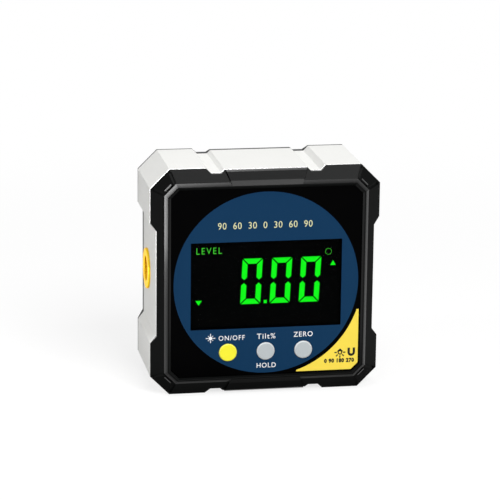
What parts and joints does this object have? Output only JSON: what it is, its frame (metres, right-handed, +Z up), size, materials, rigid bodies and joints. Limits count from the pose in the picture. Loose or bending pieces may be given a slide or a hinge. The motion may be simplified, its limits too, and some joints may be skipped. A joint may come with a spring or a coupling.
{
  "type": "digital angle gauge",
  "caption": "Square magnetic box gauge that shows its tilt on a lit display, with notched measuring faces, beam ports in the sides, round keys and a battery door behind.",
  "frame": {"origin": "middle of the base, on the plane that the lower pads stand on", "axes": "+X to the right of the face, +Y from the face to the back, +Z up"},
  "size_m": [0.06, 0.03, 0.06],
  "materials": {
    "frame_aluminium": "fine blasted and clear anodised",
    "case_black": "moulded, satin",
    "panel_black": "smooth gloss",
    "dial_blue": "printed",
    "corner_yellow": "printed",
    "window_clear": "clear acrylic",
    "display_black": "display glass with a dark polariser",
    "light_guide": "milky acrylic",
    "holder_white": "moulded",
    "zebra_rubber": "layered silicone",
    "key_yellow": "moulded, satin",
    "key_grey": "moulded, satin",
    "switch_dark": "moulded",
    "board_green": "solder mask",
    "chip_black": "moulded epoxy",
    "parts_tan": "ceramic and tinned",
    "screw_steel": "zinc plated",
    "ring_yellow": "yellow anodised",
    "port_lens": "smoked clear",
    "barrel_brass": "turned",
    "lead_red": "insulation",
    "magnet_nickel": "nickel plated",
    "cell_wrap": "plain sleeve",
    "contact_steel": "nickel plated spring steel",
    "print_white": "screen printed ink",
    "print_cream": "screen printed ink",
    "print_black": "screen printed ink",
    "display_green": "lit display segments"
  },
  "bodies": {
    "gauge": {"frame": "frame_aluminium", "front_bezel": "case_black", "back_cover": "case_black", "face_panel": "panel_black", "dial_print": "dial_blue", "corner_print": "corner_yellow", "display_window": "window_clear", "lcd_cell": "display_black", "lcd_backlight": "light_guide", "lcd_holder": "holder_white", "zebra_strip": "zebra_rubber", "power_switch": "switch_dark", "hold_switch": "switch_dark", "zero_switch": "switch_dark", "main_board": "board_green", "controller_chip": "chip_black", "tilt_sensor": "chip_black", "board_parts": "parts_tan", "board_screws": "screw_steel", "cover_screws": "screw_steel", "laser_ring_left": "ring_yellow", "laser_ring_right": "ring_yellow", "laser_lens_left": "port_lens", "laser_lens_right": "port_lens", "laser_barrel_left": "barrel_brass", "laser_barrel_right": "barrel_brass", "laser_leads": "lead_red", "magnets_top": "magnet_nickel", "magnets_bottom": "magnet_nickel", "magnets_left": "magnet_nickel", "magnets_right": "magnet_nickel", "cell_upper": "cell_wrap", "cell_lower": "cell_wrap", "contact_bridge": "contact_steel", "contact_plus": "contact_steel", "contact_minus": "contact_steel"},
    "power_key": {"power_button": "key_yellow", "power_plunger": "switch_dark"},
    "hold_key": {"hold_button": "key_grey", "hold_plunger": "switch_dark"},
    "zero_key": {"zero_button": "key_grey", "zero_plunger": "switch_dark"},
    "door": {"battery_door": "case_black"}
  },
  "joints": [
    {"name": "power_key_press", "type": "slide", "parent": "gauge", "child": "power_key", "axis": [0, 1, 0], "range_m": [0, 0.0004], "stiffness_N_per_m": 2500},
    {"name": "hold_key_press", "type": "slide", "parent": "gauge", "child": "hold_key", "axis": [0, 1, 0], "range_m": [0, 0.0004], "stiffness_N_per_m": 2500},
    {"name": "zero_key_press", "type": "slide", "parent": "gauge", "child": "zero_key", "axis": [0, 1, 0], "range_m": [0, 0.0004], "stiffness_N_per_m": 2500},
    {"name": "door_swing", "type": "hinge", "parent": "gauge", "child": "door", "pos_m": [0, 0.014, 0.04595], "axis": [1, 0, 0], "range_deg": [0, 95]}
  ]
}
